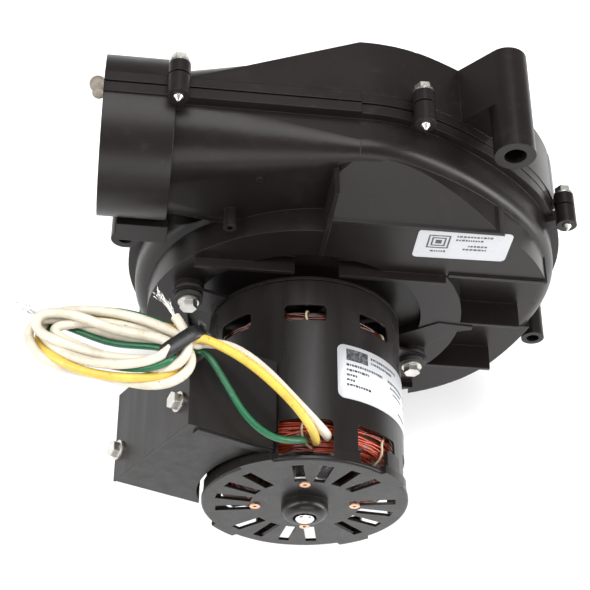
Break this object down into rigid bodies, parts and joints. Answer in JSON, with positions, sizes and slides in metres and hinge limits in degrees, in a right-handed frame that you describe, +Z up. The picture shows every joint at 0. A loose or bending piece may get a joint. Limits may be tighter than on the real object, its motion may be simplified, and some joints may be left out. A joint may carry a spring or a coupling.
{
  "type": "combustion fan",
  "caption": "Draft-inducer combustion fan: moulded scroll housing with round outlet collar, slotted motor, terminal box, tied leads and a spinning impeller.",
  "frame": {"origin": "where the shaft's axis meets the mounting plane, the back face of the housing", "axes": "+Y along the shaft into the furnace's panel, so the motor points along -Y; +Z up, the side of the straight rim; the outlet collar points along -X"},
  "size_m": [0.2413, 0.163, 0.2298],
  "materials": {
    "housing_plastic": "satin black glass-filled plastic with a fine moulded texture",
    "seal": "grey-brown sealant",
    "gasket": "dark fibre-filled gasket",
    "zinc": "zinc-plated steel",
    "aluminium": "spun or cast aluminium",
    "galvanised": "galvanised sheet steel",
    "label": null,
    "motor_paint": "baked black enamel on steel",
    "box_paint": "semi-gloss black paint on folded sheet steel",
    "copper": "copper, enamelled red-brown",
    "rivet_copper": "copper-coloured plating",
    "bronze": "oil-filled sintered bronze",
    "lamination": "laminated electrical steel",
    "shaft_steel": "ground steel",
    "grommet": "black rubber",
    "protector": "phenolic case",
    "white_pvc": "slightly yellowed white PVC insulation",
    "yellow_pvc": "yellow PVC insulation",
    "green_pvc": "green PVC insulation",
    "nylon": "black nylon",
    "tin": "tinned strands"
  },
  "bodies": {
    "housing": {"back_shell": "housing_plastic", "front_shell": "housing_plastic", "rim_seal": "seal", "rim_screws": "zinc", "inlet_ring": "aluminium", "mounting_gasket": "gasket", "shaft_seal": "gasket", "housing_label": "label", "motor_shell": "motor_paint", "end_bell": "motor_paint", "mount_grommets": "grommet", "motor_mount_screws": "zinc", "end_cap": "motor_paint", "cap_rivets": "rivet_copper", "bearing_retainer": "galvanised", "front_bearing": "bronze", "rear_bearing": "bronze", "stator_core": "lamination", "stator_winding": "copper", "through_bolts": "zinc", "thermal_protector": "protector", "motor_label": "label", "terminal_box": "box_paint", "box_cover": "box_paint", "box_screws": "zinc", "ground_screw": "rivet_copper", "white_lead": "white_pvc", "yellow_lead": "yellow_pvc", "green_lead": "green_pvc", "lead_coil": "white_pvc", "cable_tie": "nylon", "lead_ends": "tin"},
    "rotor": {"shaft": "shaft_steel", "rotor_core": "lamination", "rotor_end_rings": "aluminium", "thrust_washers": "protector", "cooling_fan": "galvanised", "impeller_hub": "galvanised", "impeller_set_screw": "zinc", "impeller_backplate": "galvanised", "impeller_shroud": "galvanised", "impeller_blades": "galvanised"}
  },
  "joints": [
    {"name": "rotor_spin", "type": "hinge", "parent": "housing", "child": "rotor", "pos_m": [0, 0, 0], "axis": [0, -1, 0], "continuous": true}
  ]
}
